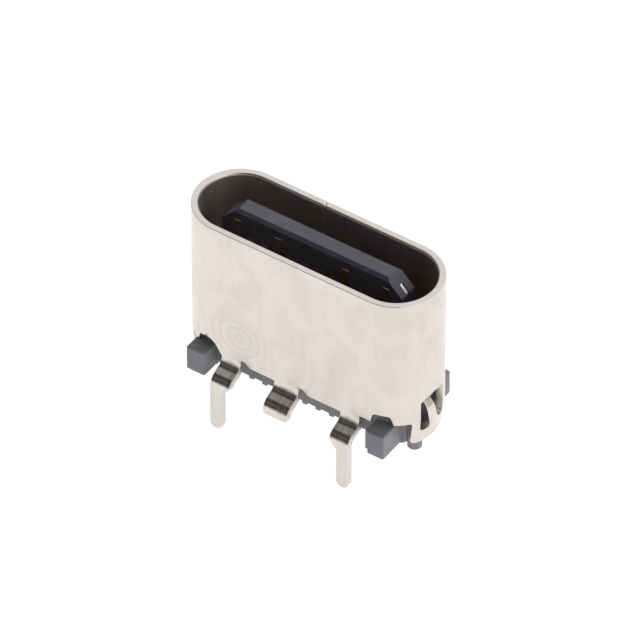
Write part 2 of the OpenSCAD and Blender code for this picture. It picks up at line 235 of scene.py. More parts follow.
def rim_section(edge_r, back_r, bevel):
    """The same for the rim, whose inner edge has a rounding and then a steep bevel."""
    turn = math.radians(150)
    start = SHEET_T + back_r * math.cos(turn) - bevel * math.sin(turn)
    front = [(edge_r * (1 - math.sin(a)), edge_r * (1 - math.cos(a)), a) for a in np.radians([0, 30, 60, 90])]
    back = [(back_r * (1 - math.sin(a)), start - back_r * math.cos(a), a) for a in np.radians([90, 105, 120, 135, 150])]
    inset, depth, _ = back[-1]
    back.append((inset - bevel * math.cos(turn) * 0.96, depth + bevel * math.sin(turn) * 0.96, turn))
    back.append((inset - bevel * math.cos(turn), SHEET_T, math.pi))
    return np.array(front + back)


def fold(u, v, depth, du, dv, turn):
    """Folds points of the blank. u runs round the shell and v up it, depth goes in from the outer face.
    (du, dv) is the direction across a cut edge and turn how far the surface has turned over it."""
    side = np.where(u > PERIMETER / 4, 1, np.where(u < -PERIMETER / 4, -1, 0))
    local = u - side * PERIMETER / 2
    # straight walls, then round ends
    over = np.maximum(np.abs(local) - HALF_RUN, 0) * np.sign(local)
    angle = over / MID_R
    run = np.clip(local, -HALF_RUN, HALF_RUN)
    spin = np.where(side == 0, 1, -1)
    nx, ny = np.sin(angle) * spin, -np.cos(angle) * spin
    px, py = run * spin + MID_R * nx, MID_R * ny
    tx, ty = -ny, nx
    end = np.abs(local) > HALF_RUN
    # the bent stretches: legs lean out, spring tabs and end lugs lean in
    leg = (v < BEND_Z) & ~end
    reach, z, lean = leg_path(np.where(leg, BEND_Z - v, 0))
    z = np.where(leg, z, v)
    # the wall is drawn in a little above each leg
    bend_band = sum(np.clip(1 - ((run - x) / (w / 2 + 0.05)) ** 2, 0, 1) for x, w in LEGS)
    rise = np.clip((v - BEND_Z) / DRAW_H, 0, 1)
    lean = lean + DRAW_LEAN * bend_band * (1 - rise) ** 2 * (v >= BEND_Z) * ~end
    easing = np.clip((BEND_Z - v) / 0.25, 0, 1)
    lean = lean + DRAW_LEAN * bend_band * (1 - easing) * (v < BEND_Z) * ~end
    at = (np.mod(u, PERIMETER / 2) - PERIMETER / 4)
    tab = (at > round_end(TAB[0]) - 0.002) & (at < round_end(TAB[1]) + 0.002) & (v > TAB_ROOT_Z - 0.06) \
        & (v < TAB_ROOT_Z + TAB_END + 0.01)
    s = np.linspace(-0.06, 1, 1061)
    tab_lean = TAB_LEANS[0] * np.clip(s / 0.06 * 0.5 + 0.5, 0, 1) \
        + (TAB_LEANS[1] - TAB_LEANS[0]) * np.clip((s - TAB_CREASE) / 0.05 * 0.5 + 0.5, 0, 1)
    step = s[1] - s[0]
    tab_in = np.cumsum(np.sin(tab_lean)) * step
    tab_up = np.cumsum(np.cos(tab_lean)) * step - 0.06
    here = v - TAB_ROOT_Z
    reach = np.where(tab, -np.interp(here, s, tab_in), reach)
    z = np.where(tab, TAB_ROOT_Z + np.interp(here, s, tab_up), z)
    lean = np.where(tab, np.interp(here, s, tab_lean), lean)
    low = np.clip((1.2 - np.where(tab, TAB_ROOT_Z, v)) / 1.0, 0, 1) * end
    px = px - np.sign(px) * LUG_LEAN * low ** 1.7
    lean = lean - LUG_LEAN * 1.7 * low ** 0.7 * (~tab)
    # the sheet's own directions at each point
    normal = np.stack([nx * np.cos(lean), ny * np.cos(lean), np.sin(lean)], 1)
    upward = np.stack([-nx * np.sin(lean), -ny * np.sin(lean), np.cos(lean)], 1)
    sideways = np.stack([tx, ty, np.zeros_like(tx)], 1)
    middle = np.stack([px + nx * reach, py + ny * reach, z], 1)
    position = middle + normal * (SHEET_T / 2 - depth)[:, None]
    facing = normal * np.cos(turn)[:, None] + (sideways * du[:, None] + upward * dv[:, None]) * np.sin(turn)[:, None]
    return position, facing, np.where(leg | (bend_band * (1 - rise) > 0.02) & ~end, np.sin(np.abs(lean)), 0)


def grid_points(loops, spacing):
    """Points inside the loops, closer together where the legs bend."""
    wide, tall, fine = spacing
    edge = np.concatenate(loops)
    lo, hi = edge.min(0), edge.max(0)
    heights = np.concatenate([np.arange(lo[1], BEND_Z + 0.3, fine), np.arange(BEND_Z + 0.35, hi[1], tall)])
    u, v = np.meshgrid(np.arange(lo[0], hi[0], wide), heights)
    points = np.stack([u.ravel(), v.ravel()], 1)
    points = points[inside(points, loops)]
    clear = np.ones(len(points), bool)
    for start in range(0, len(points), 2000):
        part = points[start:start + 2000]
        gap = np.linalg.norm(part[:, None] - edge[None], axis=2).min(1)
        clear[start:start + 2000] = gap > 0.4 * fine
    return points[clear]


def sheet_mesh(name, loops, sections):
    """A folded sheet from the blank's loops, with a rounding section for each point of them."""
    data, faces = [], []
    total = 0
    rings = []
    for loop, profile in zip(loops, sections):
        across, stretch = outward(loop)
        rows = []
        for k in range(profile.shape[1]):
            inset, depth, turn = profile[:, k].T
            at = loop - across * inset[:, None] * stretch
            rows.append(np.column_stack([at, depth, across, turn]))
        n, m = len(loop), len(rows)
        data += rows
        index = total + np.arange(n * m).reshape(m, n)
        total += n * m
        for k in range(m - 1):
            a, b = index[k], index[k + 1]
            faces += [(int(a[i]), int(b[i]), int(b[(i + 1) % n]), int(a[(i + 1) % n])) for i in range(n)]
        rings.append((index[0], index[-1], rows[0], rows[-1]))
    for back in (False, True):
        ring_index = np.concatenate([r[1] if back else r[0] for r in rings])
        ring_rows = [r[3] if back else r[2] for r in rings]
        edges, at = [], 0
        for row in ring_rows:
            n = len(row)
            edges += [(at + i, at + (i + 1) % n) for i in range(n)]
            at += n
        ring = np.concatenate(ring_rows)[:, :2]
        fill = grid_points([row[:, :2] for row in ring_rows], (0.1, 0.16, 0.045))
        points = np.concatenate([ring, fill])
        verts, _, tris, sources, _, _ = delaunay_2d_cdt([Vector(p) for p in points], edges, [], 0, 1e-7)
        place = np.array([s[0] for s in sources])
        tris = np.array([t for t in tris if len(t) == 3])
        tris = place[tris]
        centre = points[tris].mean(1)
        tris = tris[inside(centre, [row[:, :2] for row in ring_rows])]
        a, b, c = (points[tris[:, k]] for k in range(3))
        flip = np.cross(b - a, c - a) < 0
        if back:
            flip = ~flip
        tris[flip] = tris[flip][:, ::-1]
        number = np.concatenate([ring_index, total + np.arange(len(fill))])
        zero = np.zeros(len(fill))
        data.append(np.column_stack([fill, np.full(len(fill), SHEET_T if back else 0.0), zero, zero,
                                     np.full(len(fill), math.pi if back else 0.0)]))
        total += len(fill)
        faces += [tuple(int(number[i]) for i in t) for t in tris]
    data = np.concatenate(data)
    position, facing, bent = fold(*data.T)
    mesh = bpy.data.meshes.new(name)
    mesh.from_pydata((position * MM).tolist(), [], faces)
    mesh.validate()
    mesh.update()
    for polygon in mesh.polygons:
        polygon.use_smooth = True
    facing /= np.linalg.norm(facing, axis=1)[:, None]
    mesh.normals_split_custom_set_from_vertices(facing.tolist())
    marks = {"cut_edge": np.abs(np.sin(data[:, 5])), "inner_face": data[:, 2] / SHEET_T, "bent": bent}
    for mark, values in marks.items():
        mesh.attributes.new(mark, "FLOAT", "POINT").data.foreach_set("value", values.astype(np.float32))
    return mesh


def link(name, mesh):
    piece = bpy.data.objects.new(name, mesh)
    bpy.context.scene.collection.objects.link(piece)
    return piece


def make_shell():
    outer = dense(blank_outline(), 0.06)
    windows = [dense(window_outline(side * PERIMETER / 4), 0.06) for side in (-1, 1)]
    plain, rim = section(0.03, 0.02), rim_section(0.025, 0.05, 0.055)
    sections = []
    for loop in [outer] + windows:
        on_rim = np.clip((loop[:, 1] - RIM_Z + 0.06) / 0.06, 0, 1)[:, None, None]
        sections.append(plain * (1 - on_rim) + rim * on_rim)
    return link("folded_shell", sheet_mesh("folded_shell", [outer] + windows, sections))


# ---------------------------------------------------------------- moulded and stamped blocks

AXES = {"x": lambda a, b, h: (h, a, b), "y": lambda a, b, h: (a, h, b), "z": lambda a, b, h: (a, b, h)}


def prism(outline, low, high, axis):
    """A mesh in millimetres, from an outline across an axis and two heights along it."""
    work = bmesh.new()
    ends = [[work.verts.new(AXES[axis](a, b, h)) for a, b in outline] for h in (low, high)]
    count = len(outline)
    work.faces.new(ends[0])
    work.faces.new(ends[1])
    for i in range(count):
        j = (i + 1) % count
        work.faces.new((ends[0][i], ends[0][j], ends[1][j], ends[1][i]))
    bmesh.ops.recalc_face_normals(work, faces=work.faces)
    mesh = bpy.data.meshes.new("block")
    work.to_mesh(mesh)
    work.free()
    return mesh


def block(low, high):
    (x0, y0, z0), (x1, y1, z1) = low, high
    return prism([(x0, y0), (x1, y0), (x1, y1), (x0, y1)], z0, z1, "z")


def turned(profile, x, y, segments=48):
    """A closed round solid about an upright axis, from its radius and height at each level."""
    work = bmesh.new()
    rings = []
    for r, z in profile:
        rings.append([work.verts.new((x + r * math.cos(2 * math.pi * k / segments),
                                      y + r * math.sin(2 * math.pi * k / segments), z)) for k in range(segments)])
    work.faces.new(rings[0])
    work.faces.new(rings[-1])
    for a, b in zip(rings, rings[1:]):
        for k in range(segments):
            j = (k + 1) % segments
            work.faces.new((a[k], a[j], b[j], b[k]))
    bmesh.ops.recalc_face_normals(work, faces=work.faces)
    mesh = bpy.data.meshes.new("turned")
    work.to_mesh(mesh)
    work.free()
    return mesh


def half_turn(mesh):
    """The mesh and a copy of it turned by half a turn about the upright axis."""
    other = mesh.copy()
    other.transform(Matrix.Rotation(math.pi, 4, "Z"))
    return [mesh, other]


def stadium(r, segments=64):
    """A stadium's outline, counter-clockwise."""
    turns = [math.pi * k / segments - math.pi / 2 for k in range(segments + 1)]
    right = [(HALF_RUN + r * math.cos(t), r * math.sin(t)) for t in turns]
    return right + [(-x, -y) for x, y in right]


def settled(piece, name):
    """A plain mesh object from a piece with modifiers on it."""
    graph = bpy.context.evaluated_depsgraph_get()
    mesh = bpy.data.meshes.new_from_object(piece.evaluated_get(graph))
    bpy.data.objects.remove(piece)
    mesh.name = name
    return link(name, mesh)


def softened(mesh, width, segments=3):
    """The mesh with all its edges rounded."""
    piece = link("softened_work", mesh)
    rounding = piece.modifiers.new("rounding", "BEVEL")
    rounding.width, rounding.segments = width, segments
    rounding.limit_method = "NONE"
    piece = settled(piece, "softened")
    mesh = piece.data
    bpy.data.objects.remove(piece)
    return mesh


def carved(name, first, adds=(), cuts=(), common=(), bevel=0.02, segments=2):
    """A solid from the first mesh, with others joined to it, cut from it or kept in common, and its edges rounded."""
    piece = link(name + "_work", first)
    tools = []
    steps = [("UNION", m) for m in adds] + [("INTERSECT", m) for m in common] + [("DIFFERENCE", m) for m in cuts]
    for operation, mesh in steps:
        tool = link(name + "_tool", mesh)
        tools.append(tool)
        step = piece.modifiers.new("carve", "BOOLEAN")
        step.operation, step.object, step.solver = operation, tool, "EXACT"
    piece = settled(piece, name)
    for tool in tools:
        bpy.data.objects.remove(tool)
    work = bmesh.new()
    work.from_mesh(piece.data)
    bmesh.ops.remove_doubles(work, verts=work.verts, dist=1e-4)
    bmesh.ops.dissolve_limit(work, angle_limit=math.radians(1), verts=work.verts, edges=work.edges)
    work.to_mesh(piece.data)
    work.free()
    for polygon in piece.data.polygons:
        polygon.use_smooth = True
    rounding = piece.modifiers.new("rounding", "BEVEL")
    rounding.width, rounding.segments, rounding.angle_limit = bevel, segments, math.radians(32)
    rounding.harden_normals = True
    shade = piece.modifiers.new("shade", "WEIGHTED_NORMAL")
    shade.keep_sharp = True
    piece = settled(piece, name)
    piece.data.transform(Matrix.Scale(MM, 4))
    return piece


# ---------------------------------------------------------------- housing, with its feet and pegs

FLOOR_Z, SKIRT_Z, SKIRT_R, BODY_R, STAND_OFF = 1.6, 0.9, 1.18, 1.25, 0.17
FOOT_OUT_Y, FOOT_D, FOOT_H, FOOT_STEP = 1.86, 0.99, 0.93, (0.11, 0.2)
PEG_X, PEG_R, PEG_LEAD = 3.62, 0.235, 0.08
TONGUE_HALF, ROOT_HALF, GROUND_T, WELL_GAP = tongue_high.x, 0.53, 0.1, 0.02
FAR = 20


def make_housing():
    foot = softened(block((FOOT_IN_X, -FOOT_OUT_Y, 0), (FOOT_OUT_X, -FOOT_OUT_Y + FOOT_D, FOOT_H)), 0.06)
    step = block((FOOT_IN_X - 1, -FAR, -1), (FOOT_IN_X + FOOT_STEP[0], -FOOT_OUT_Y + FOOT_D + 0.01, FOOT_STEP[1]))
    plain_foot = softened(block((-FOOT_OUT_X, -FOOT_OUT_Y, 0), (-FOOT_IN_X, -FOOT_OUT_Y + FOOT_D, FOOT_H)), 0.06)
    low = housing_low.z - 0.08
    peg = turned([(PEG_R - PEG_LEAD, low), (PEG_R, low + PEG_LEAD), (PEG_R, 0.3)], PEG_X, 0)
    pocket = block((HALF_RUN + OUTER_R - 0.3 - SHEET_T - 0.09, -0.64, 0.52), (FAR, 0.5, FLOOR_Z - 0.12))
    well = block((-TONGUE_HALF - WELL_GAP, -ROOT_HALF - GROUND_T - WELL_GAP, -1),
                 (TONGUE_HALF + WELL_GAP, ROOT_HALF + GROUND_T + WELL_GAP, FAR))
    under = block((-FOOT_IN_X, -FAR, -1), (FOOT_IN_X, FAR, STAND_OFF))
    return carved("housing", prism(stadium(SKIRT_R), 0, SKIRT_Z + 0.01, "z"),
                  adds=[prism(stadium(BODY_R), SKIRT_Z, FLOOR_Z, "z")] + half_turn(foot) + half_turn(plain_foot)
                  + half_turn(peg),
                  cuts=[well, under] + half_turn(step) + half_turn(pocket), bevel=0.025)


# ---------------------------------------------------------------- tongue and its plates

TONGUE_T, TIP_BEVEL, TONGUE_CHAMFER = 0.7, 0.11, 0.58
TIP_Z = tongue_high.z
ROOT_Z, ROOT_RAMP = 2.25, 0.1
NOTCH = (TONGUE_HALF - 0.3, RIM_Z - 3, RIM_Z - 2)
PLATE_T, PLATE_LOW_Z = 0.16, 0.3
PLATE_TOP_Z = TIP_Z - 0.3
PITCH, CONTACT_COUNT, CONTACT_W, CONTACT_T = 0.5, 12, 0.25, 0.12
POWER_TOP_Z, SIGNAL_TOP_Z = RIM_Z - 0.43, RIM_Z - 0.95
TAIL_W, TAIL_T, TAIL_Y = 0.17, 0.15, 1.12
GROUND_W, GROUND_LOW_Z, FLANGE_D = 5.8, 0.4, 0.42


def tongue_outline(top, low):
    x, corner = TONGUE_HALF, TIP_Z - TONGUE_CHAMFER
    c = max(TONGUE_CHAMFER - (TIP_Z - top), 0)
    return [(-x, low), (x, low), (x, corner), (x - c, top), (-x + c, top), (-x, corner)]


def tongue_section():
    half = [(ROOT_HALF, 0), (ROOT_HALF, ROOT_Z - ROOT_RAMP), (TONGUE_T / 2, ROOT_Z + ROOT_RAMP),
            (TONGUE_T / 2, TIP_Z - TIP_BEVEL), (TONGUE_T / 2 - TIP_BEVEL, TIP_Z)]
    return half + [(-y, z) for y, z in reversed(half)]


def latch_notches():
    x, low, high = NOTCH
    return half_turn(block((x, -FAR, low), (FAR, FAR, high)))


def is_power(i):
    return i in (0, 3, CONTACT_COUNT - 4, CONTACT_COUNT - 1)


def make_tongue():
    channels = []
    for i in range(CONTACT_COUNT):
        x = (i - (CONTACT_COUNT - 1) / 2) * PITCH
        w = CONTACT_W / 2 + 0.003
        top = (POWER_TOP_Z if is_power(i) else SIGNAL_TOP_Z) + 0.003
        outline = [(-FAR, -1), (CONTACT_T - TONGUE_T / 2, -1), (CONTACT_T - TONGUE_T / 2, top),
                   (-TONGUE_T / 2 - 0.01, top), (-TONGUE_T / 2 - 0.01, TAIL_T + 0.01), (-FAR, TAIL_T + 0.01)]
        channels += half_turn(prism(outline, x - w, x + w, "x"))
    slot = block((-FAR, -PLATE_T / 2, PLATE_LOW_Z), (FAR, PLATE_T / 2, PLATE_TOP_Z))
    return carved("tongue", prism(tongue_section(), -FAR, FAR, "x"), common=[prism(tongue_outline(TIP_Z, 0), -FAR, FAR, "y")],
                  cuts=[joined(channels), slot] + latch_notches(), bevel=0.012)


def joined(meshes):
    """One mesh of several that lie apart."""
    work = bmesh.new()
    for mesh in meshes:
        work.from_mesh(mesh)
    mesh = bpy.data.meshes.new("joined")
    work.to_mesh(mesh)
    work.free()
    return mesh


def make_mid_plate():
    return carved("tongue_plate", prism(tongue_outline(PLATE_TOP_Z, PLATE_LOW_Z), -PLATE_T / 2, PLATE_T / 2, "y"),
                  cuts=latch_notches(), bevel=0.06, segments=3)


def make_ground_plates():
    y, t = -ROOT_HALF, GROUND_T
    outline = [(y, GROUND_LOW_Z), (y, ROOT_Z - t), (y - t, ROOT_Z - 2 * t), (y - t, FLOOR_Z + t),
               (y - t - FLANGE_D, FLOOR_Z + t), (y - t - FLANGE_D, FLOOR_Z), (y - t, FLOOR_Z), (y - t, GROUND_LOW_Z)]
    plates = half_turn(prism(outline, -GROUND_W / 2, GROUND_W / 2, "x"))
    return carved("ground_plates", joined(plates), bevel=0.015)


# ---------------------------------------------------------------- what repeats

def socket(tree, name, kind, flow="INPUT"):
    return tree.interface.new_socket(name=name, in_out=flow, socket_type=kind)


def made_by(tree, name, values):
    """A plain mesh object from a geometry tree and the values of its named inputs."""
    piece = link(name + "_work", bpy.data.meshes.new(name))
    step = piece.modifiers.new("pattern", "NODES")
    step.node_group = tree
    for item in tree.interface.items_tree:
        if item.item_type == "SOCKET" and item.in_out == "INPUT" and item.name in values:
            step[item.identifier] = values[item.name]
    return settled(piece, name)


def contact_mesh(top):
    """One contact of the front row at x = 0: a blade in the tongue's face and a tail along the board."""
    y = -TONGUE_T / 2
    tip = 0.022 if top == POWER_TOP_Z else 0.006
    blade = [(y, 0), (y + CONTACT_T, 0), (y + CONTACT_T, top), (y + tip, top), (y, top - tip)]
    return carved("contact", prism(blade, -CONTACT_W / 2, CONTACT_W / 2, "x"),
                  adds=[block((-TAIL_W / 2, -TAIL_Y, 0), (TAIL_W / 2, y + 0.02, TAIL_T))], bevel=0.004)


def contact_tree(material):
    """Two rows of contacts, half a turn apart, with the long ones where the power contacts are."""
    tree = bpy.data.node_groups.new("contact_rows", "GeometryNodeTree")
    socket(tree, "Long contact", "NodeSocketObject")
    socket(tree, "Short contact", "NodeSocketObject")
    socket(tree, "Count", "NodeSocketInt")
    socket(tree, "Pitch", "NodeSocketFloat")
    socket(tree, "First long", "NodeSocketFloat")
    socket(tree, "Second long", "NodeSocketFloat")
    socket(tree, "Geometry", "NodeSocketGeometry", "OUTPUT")
    enter, leave = node(tree, "NodeGroupInput", (-1200, 0)), node(tree, "NodeGroupOutput", (900, 0))

    def join(a, b):
        tree.links.new(a, b)

    def sum_of(operation, a, b, at=(0, 0)):
        made = node(tree, "ShaderNodeMath", at, operation=operation)
        for k, value in enumerate((a, b)):
            if isinstance(value, (int, float)):
                made.inputs[k].default_value = value
            elif value is not None:
                join(value, made.inputs[k])
        return made.outputs[0]

    middle = sum_of("DIVIDE", sum_of("SUBTRACT", enter.outputs["Count"], 1), 2)
    first_x = sum_of("MULTIPLY", sum_of("MULTIPLY", middle, -1), enter.outputs["Pitch"])
    start, offset = node(tree, "ShaderNodeCombineXYZ", (-500, 300)), node(tree, "ShaderNodeCombineXYZ", (-500, 100))
    join(first_x, start.inputs[0])
    join(enter.outputs["Pitch"], offset.inputs[0])
    line = node(tree, "GeometryNodeMeshLine", (-300, 200), mode="OFFSET")
    join(enter.outputs["Count"], line.inputs["Count"])
    join(start.outputs[0], line.inputs["Start Location"])
    join(offset.outputs[0], line.inputs["Offset"])
    index = node(tree, "GeometryNodeInputIndex", (-700, -200))
    from_middle = sum_of("ABSOLUTE", sum_of("SUBTRACT", index.outputs[0], middle), None)

    def near(value):
        return sum_of("LESS_THAN", sum_of("ABSOLUTE", sum_of("SUBTRACT", from_middle, value), None), 0.1)

    long_here = sum_of("MAXIMUM", near(enter.outputs["First long"]), near(enter.outputs["Second long"]))
    short_here = sum_of("SUBTRACT", 1, long_here)
    gather = node(tree, "GeometryNodeJoinGeometry", (300, 0))
    for name, here in (("Long contact", long_here), ("Short contact", short_here)):
        info = node(tree, "GeometryNodeObjectInfo", (-300, -300))
        join(enter.outputs[name], info.inputs["Object"])
        place = node(tree, "GeometryNodeInstanceOnPoints", (0, 0))
        join(line.outputs[0], place.inputs["Points"])
        join(here, place.inputs["Selection"])
        join(info.outputs["Geometry"], place.inputs["Instance"])
        join(place.outputs[0], gather.inputs[0])
    turn = node(tree, "GeometryNodeTransform", (450, -150))
    turn.inputs["Rotation"].default_value = (0, 0, math.pi)
    rows = node(tree, "GeometryNodeJoinGeometry", (600, 0))
    join(gather.outputs[0], turn.inputs[0])
    join(gather.outputs[0], rows.inputs[0])
    join(turn.outputs[0], rows.inputs[0])
    finish_tree(tree, rows.outputs[0], leave, material)
    return tree


def finish_tree(tree, geometry, leave, material):
    real = node(tree, "GeometryNodeRealizeInstances", (700, 0))
    paint = node(tree, "GeometryNodeSetMaterial", (800, 0))
    paint.inputs["Material"].default_value = material
    tree.links.new(geometry, real.inputs[0])
    tree.links.new(real.outputs[0], paint.inputs[0])
    tree.links.new(paint.outputs[0], leave.inputs[0])


def make_contacts(material):
    long_one, short_one = contact_mesh(POWER_TOP_Z), contact_mesh(SIGNAL_TOP_Z)
    half = (CONTACT_COUNT - 1) / 2
    rows = made_by(contact_tree(material), "contacts", {
        "Long contact": long_one, "Short contact": short_one, "Count": CONTACT_COUNT, "Pitch": PITCH * MM,
        "First long": half, "Second long": half - 3})
    bpy.data.objects.remove(long_one)
    bpy.data.objects.remove(short_one)
    return rows


RIB_W, RIB_OUT, RIB_COUNT = 0.07, 0.04, 3
RIB_STEP, RIB_FIRST = math.radians(8), math.radians(-52)


def rib_tree(material):
    """Upright ribs round the four quarters of the skirt's ends."""
    tree = bpy.data.node_groups.new("rib_fan", "GeometryNodeTree")
    socket(tree, "Rib", "NodeSocketObject")
    socket(tree, "Count", "NodeSocketInt")
    socket(tree, "First angle", "NodeSocketFloat")
    socket(tree, "Step angle", "NodeSocketFloat")
    socket(tree, "End distance", "NodeSocketFloat")
    socket(tree, "Geometry", "NodeSocketGeometry", "OUTPUT")
    enter, leave = node(tree, "NodeGroupInput", (-1200, 0)), node(tree, "NodeGroupOutput", (900, 0))
    line = node(tree, "GeometryNodeMeshLine", (-500, 200), mode="OFFSET")
    line.inputs["Offset"].default_value = (0, 0, 0)
    tree.links.new(enter.outputs["Count"], line.inputs["Count"])
    centre = node(tree, "ShaderNodeCombineXYZ", (-700, 200))
    tree.links.new(enter.outputs["End distance"], centre.inputs[0])
    tree.links.new(centre.outputs[0], line.inputs["Start Location"])
    index = node(tree, "GeometryNodeInputIndex", (-700, -200))
    angle = node(tree, "ShaderNodeMath", (-500, -200), operation="MULTIPLY_ADD")
    tree.links.new(index.outputs[0], angle.inputs[0])
    tree.links.new(enter.outputs["Step angle"], angle.inputs[1])
    tree.links.new(enter.outputs["First angle"], angle.inputs[2])
    spin = node(tree, "ShaderNodeCombineXYZ", (-300, -200))
    tree.links.new(angle.outputs[0], spin.inputs[2])
    info = node(tree, "GeometryNodeObjectInfo", (-300, -400))
    tree.links.new(enter.outputs["Rib"], info.inputs["Object"])
    place = node(tree, "GeometryNodeInstanceOnPoints", (0, 0))
    tree.links.new(line.outputs[0], place.inputs["Points"])
    tree.links.new(info.outputs["Geometry"], place.inputs["Instance"])
    tree.links.new(spin.outputs[0], place.inputs["Rotation"])
    rows = node(tree, "GeometryNodeJoinGeometry", (600, 0))
    tree.links.new(place.outputs[0], rows.inputs[0])
    real = node(tree, "GeometryNodeRealizeInstances", (150, -200))
    tree.links.new(place.outputs[0], real.inputs[0])
    for scale, turn in (((1, 1, 1), math.pi), ((-1, 1, 1), 0), ((-1, 1, 1), math.pi)):
        other = node(tree, "GeometryNodeTransform", (450, -150))
        other.inputs["Scale"].default_value = scale
        other.inputs["Rotation"].default_value = (0, 0, turn)
        tree.links.new(real.outputs[0], other.inputs[0])
        last = other
        if scale[0] < 0:
            last = node(tree, "GeometryNodeFlipFaces", (550, -150))
            tree.links.new(other.outputs[0], last.inputs[0])
        tree.links.new(last.outputs[0], rows.inputs[0])
    finish_tree(tree, rows.outputs[0], leave, material)
    return tree


def make_ribs(material):
    rib = carved("rib", block((SKIRT_R - RIB_W, -RIB_W / 2, 0.005), (SKIRT_R + RIB_OUT, RIB_W / 2, SKIRT_Z - 0.005)),
                 bevel=0.02, segments=3)
    ribs = made_by(rib_tree(material), "housing_ribs", {
        "Rib": rib, "Count": RIB_COUNT, "First angle": RIB_FIRST, "Step angle": RIB_STEP, "End distance": HALF_RUN * MM})
    bpy.data.objects.remove(rib)
    return ribs


def node(tree, kind, at=(0, 0), **values):
    made = tree.nodes.new(kind)
    made.location = at
    for key, value in values.items():
        setattr(made, key, value)
    return made


# ---------------------------------------------------------------- finishes

def wire(tree, source, target):
    """Links a socket, or sets a plain value."""
    if isinstance(source, bpy.types.NodeSocket):
        tree.links.new(source, target)
    elif source is not None:
        target.default_value = source


def maths(tree, operation, *values, clamp=False):
    made = node(tree, "ShaderNodeMath", operation=operation, use_clamp=clamp)
    for value, target in zip(values, made.inputs):
        wire(tree, value, target)
    return made.outputs[0]


def blend_colour(tree, amount, a, b, how="MIX"):
    made = node(tree, "ShaderNodeMix", data_type="RGBA", blend_type=how)
    wire(tree, amount, made.inputs["Factor"])
    wire(tree, a, made.inputs[6])
    wire(tree, b, made.inputs[7])
    return made.outputs[2]


def ramp(tree, value, low, high, to_low=0.0, to_high=1.0):
    made = node(tree, "ShaderNodeMapRange", interpolation_type="SMOOTHSTEP")
    for target, given in zip(("Value", "From Min", "From Max", "To Min", "To Max"),
                             (value, low, high, to_low, to_high)):
        wire(tree, given, made.inputs[target])
    return made.outputs[0]


def noise(tree, vector, scale, detail=3.0, rough=0.5, twist=0.0):
    made = node(tree, "ShaderNodeTexNoise")
    wire(tree, vector, made.inputs["Vector"])
    made.inputs["Scale"].default_value = scale
    made.inputs["Detail"].default_value = detail
    made.inputs["Roughness"].default_value = rough
    made.inputs["Distortion"].default_value = twist
    return made.outputs["Fac"]


def stretched(tree, vector, scale):
    made = node(tree, "ShaderNodeVectorMath", operation="MULTIPLY")
    wire(tree, vector, made.inputs[0])
    made.inputs[1].default_value = scale
    return made.outputs[0]


def effect(name, inputs, outputs):
    """A shader node group with named inputs, and its entry and exit."""
    tree = bpy.data.node_groups.new(name, "ShaderNodeTree")
    for label, kind, value in inputs:
        made = socket(tree, label, kind)
        if value is not None:
            made.default_value = value
    for label, kind in outputs:
        socket(tree, label, kind, "OUTPUT")
    return tree, node(tree, "NodeGroupInput"), node(tree, "NodeGroupOutput")


COLOUR, NUMBER, VECTOR = "NodeSocketColor", "NodeSocketFloat", "NodeSocketVector"


def plated_effect():
    """Handled plating: soft smudges, faint upright streaks and a fine mottle. Sizes are in millimetres."""
    tree, enter, leave = effect("handled_plating", [
        ("Place", VECTOR, None), ("Colour", COLOUR, (0.8, 0.8, 0.8, 1)), ("Smudge colour", COLOUR, (0.7, 0.7, 0.6, 1)),
        ("Smudge", NUMBER, 0.5), ("Streak", NUMBER, 0.3), ("Roughness", NUMBER, 0.15), ("Spread", NUMBER, 0.08),
    ], [("Colour", COLOUR), ("Roughness", NUMBER), ("Height", NUMBER)])
    place = enter.outputs["Place"]
    cloud = ramp(tree, noise(tree, stretched(tree, place, (1, 1, 0.7)), 0.9, 4, 0.6, 0.8), 0.42, 0.62)
    streak = ramp(tree, noise(tree, stretched(tree, place, (1, 1, 0.22)), 3.2, 4, 0.6, 0.3), 0.45, 0.68)
    fine = noise(tree, place, 9.0, 3, 0.6, 0.2)
    smudge = maths(tree, "MULTIPLY", cloud, enter.outputs["Smudge"])
    streaks = maths(tree, "MULTIPLY", streak, enter.outputs["Streak"])
    mask = maths(tree, "ADD", smudge, streaks, clamp=True)
    broken = maths(tree, "MULTIPLY", mask, ramp(tree, fine, 0.3, 0.6, 0.7, 1.0))
    wire(tree, blend_colour(tree, broken, enter.outputs["Colour"], enter.outputs["Smudge colour"]),
         leave.inputs["Colour"])
    wire(tree, maths(tree, "MULTIPLY_ADD", broken, enter.outputs["Spread"], enter.outputs["Roughness"]),
         leave.inputs["Roughness"])
    low = noise(tree, stretched(tree, place, (1, 1, 0.5)), 1.4, 2, 0.4)
    wire(tree, maths(tree, "MULTIPLY_ADD", fine, 0.25, low), leave.inputs["Height"])
    return tree


